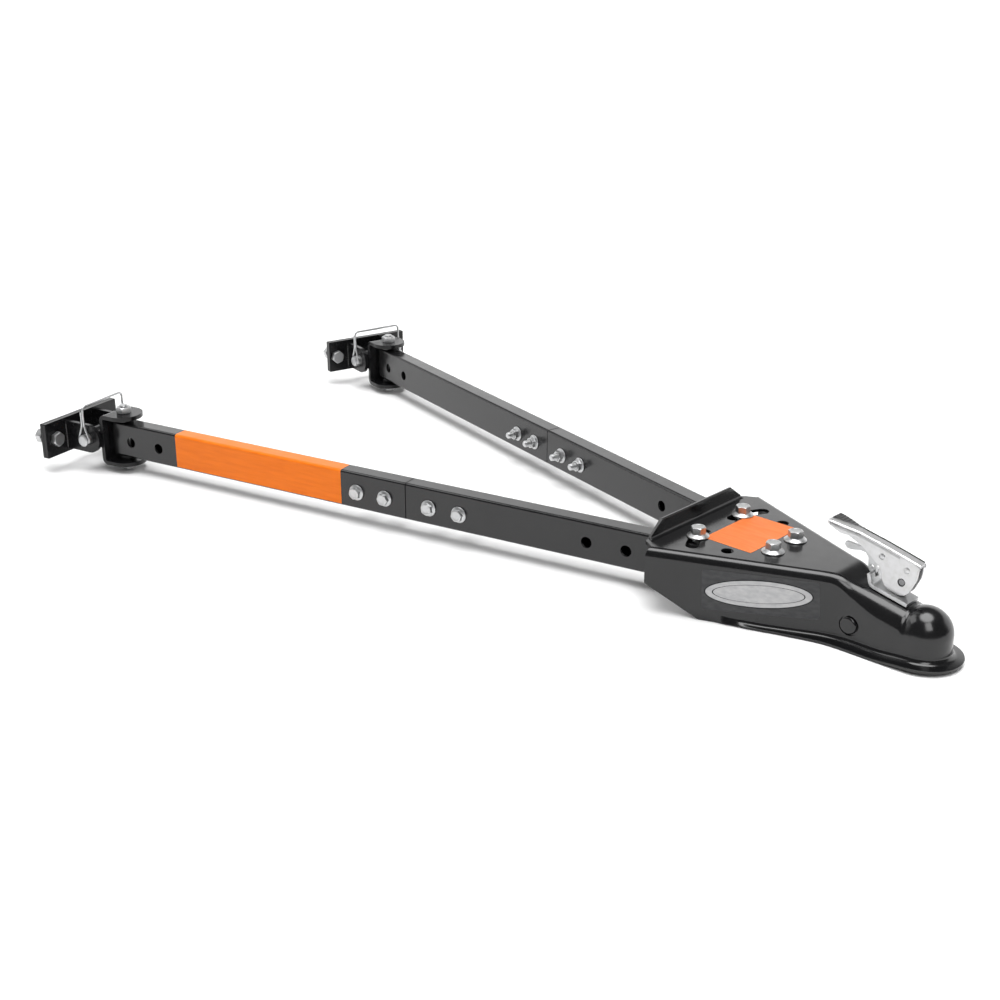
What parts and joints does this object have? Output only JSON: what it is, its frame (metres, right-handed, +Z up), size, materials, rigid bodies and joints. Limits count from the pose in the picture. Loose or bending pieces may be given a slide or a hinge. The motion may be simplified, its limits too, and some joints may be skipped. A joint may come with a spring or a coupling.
{
  "type": "adjustable tow bar",
  "caption": "A-frame tow bar: two bolted tube arms that spread from a stamped ball coupler with a lever latch, ending in swivel yokes, pinned bumper brackets and bail-kept hitch pins.",
  "frame": {"origin": "on the ground under the middle of the whole bar's box, so the coupler's lip and the yoke bolts' heads stand at z = 0", "axes": "+X forward to the coupler's nose, +Y to the left arm, +Z up"},
  "size_m": [1.3152, 0.708, 0.1334],
  "materials": {
    "black_coat": "semi-gloss black powder coat",
    "tube_black": "satin black powder coat",
    "bright_zinc": "bright zinc plate"
  },
  "bodies": {
    "coupler": {"coupler_body": "black_coat", "latch_saddle": "bright_zinc", "right_pivot_bolt": "bright_zinc", "right_pivot_nut": "bright_zinc", "left_pivot_bolt": "bright_zinc", "left_pivot_nut": "bright_zinc"},
    "draw_bolt": {"draw_bolt": "bright_zinc"},
    "lever": {"latch_lever": "bright_zinc", "latch_pivot_pin": "bright_zinc", "trigger_rivet": "bright_zinc"},
    "trigger": {"latch_trigger": "bright_zinc"},
    "ball_clamp": {"ball_clamp": "bright_zinc"},
    "right_arm": {"right_front_tube": "tube_black", "right_rear_tube": "tube_black", "right_splice_tube": "tube_black", "right_slot_bolt": "bright_zinc", "right_slot_nut": "bright_zinc", "right_splice_bolt_1": "bright_zinc", "right_splice_nut_1": "bright_zinc", "right_splice_bolt_2": "bright_zinc", "right_splice_nut_2": "bright_zinc", "right_splice_bolt_3": "bright_zinc", "right_splice_nut_3": "bright_zinc", "right_splice_bolt_4": "bright_zinc", "right_splice_nut_4": "bright_zinc"},
    "right_yoke": {"right_yoke": "black_coat", "right_yoke_bolt": "bright_zinc", "right_yoke_nut": "bright_zinc"},
    "right_bracket": {"right_bumper_bracket": "black_coat", "right_backing_plate": "black_coat", "right_plate_bolt_1": "bright_zinc", "right_plate_nut_1": "bright_zinc", "right_plate_bolt_2": "bright_zinc", "right_plate_nut_2": "bright_zinc"},
    "right_pin": {"right_hitch_pin": "bright_zinc", "right_wire_bail": "bright_zinc"},
    "left_arm": {"left_front_tube": "tube_black", "left_rear_tube": "tube_black", "left_splice_tube": "tube_black", "left_slot_bolt": "bright_zinc", "left_slot_nut": "bright_zinc", "left_splice_bolt_1": "bright_zinc", "left_splice_nut_1": "bright_zinc", "left_splice_bolt_2": "bright_zinc", "left_splice_nut_2": "bright_zinc", "left_splice_bolt_3": "bright_zinc", "left_splice_nut_3": "bright_zinc", "left_splice_bolt_4": "bright_zinc", "left_splice_nut_4": "bright_zinc"},
    "left_yoke": {"left_yoke": "black_coat", "left_yoke_bolt": "bright_zinc", "left_yoke_nut": "bright_zinc"},
    "left_bracket": {"left_bumper_bracket": "black_coat", "left_backing_plate": "black_coat", "left_plate_bolt_1": "bright_zinc", "left_plate_nut_1": "bright_zinc", "left_plate_bolt_2": "bright_zinc", "left_plate_nut_2": "bright_zinc"},
    "left_pin": {"left_hitch_pin": "bright_zinc", "left_wire_bail": "bright_zinc"}
  },
  "joints": [
    {"name": "draw_bolt_slide", "type": "slide", "parent": "coupler", "child": "draw_bolt", "axis": [0.2045, 0, 0.9789], "range_m": [-0.003, 0]},
    {"name": "lever_swing", "type": "hinge", "parent": "draw_bolt", "child": "lever", "pos_m": [0.58252, 0, 0.08417], "axis": [0, 1, 0], "range_deg": [0, 70]},
    {"name": "trigger_pull", "type": "hinge", "parent": "lever", "child": "trigger", "pos_m": [0.55652, 0, 0.10727], "axis": [0, 1, 0], "range_deg": [0, 10], "stiffness_Nm_per_rad": 0.4},
    {"name": "ball_clamp_rock", "type": "hinge", "parent": "coupler", "child": "ball_clamp", "pos_m": [0.53712, 0, 0.02527], "axis": [0, 1, 0], "range_deg": [0, 4]},
    {"name": "right_arm_spread", "type": "hinge", "parent": "coupler", "child": "right_arm", "pos_m": [0.42812, -0.0231, 0.04777], "axis": [0, 0, 1], "range_deg": [-9, 17]},
    {"name": "right_yoke_swivel", "type": "hinge", "parent": "right_arm", "child": "right_yoke", "pos_m": [-0.52913, -0.25946, 0.04777], "axis": [0, 0, -1], "range_deg": [-40, 40]},
    {"name": "right_bracket_tilt", "type": "hinge", "parent": "right_yoke", "child": "right_bracket", "pos_m": [-0.5699, -0.26953, 0.04777], "axis": [-0.2397, 0.9708, 0], "range_deg": [-60, 45]},
    {"name": "right_pin_turn", "type": "hinge", "parent": "right_yoke", "child": "right_pin", "pos_m": [-0.5699, -0.26953, 0.04777], "axis": [-0.2397, 0.9708, 0], "range_deg": [-50, 30]},
    {"name": "left_arm_spread", "type": "hinge", "parent": "coupler", "child": "left_arm", "pos_m": [0.42812, 0.0231, 0.04777], "axis": [0, 0, -1], "range_deg": [-9, 17]},
    {"name": "left_yoke_swivel", "type": "hinge", "parent": "left_arm", "child": "left_yoke", "pos_m": [-0.52913, 0.25946, 0.04777], "axis": [0, 0, 1], "range_deg": [-40, 40]},
    {"name": "left_bracket_tilt", "type": "hinge", "parent": "left_yoke", "child": "left_bracket", "pos_m": [-0.5699, 0.26953, 0.04777], "axis": [0.2397, 0.9708, 0], "range_deg": [-60, 45]},
    {"name": "left_pin_turn", "type": "hinge", "parent": "left_yoke", "child": "left_pin", "pos_m": [-0.5699, 0.26953, 0.04777], "axis": [0.2397, 0.9708, 0], "range_deg": [-50, 30]}
  ],
  "couplings": [
    {"joint": "draw_bolt_slide", "follows": "lever_swing", "m_per_rad": -0.00245},
    {"joint": "ball_clamp_rock", "follows": "lever_swing", "ratio": 0.0541}
  ]
}
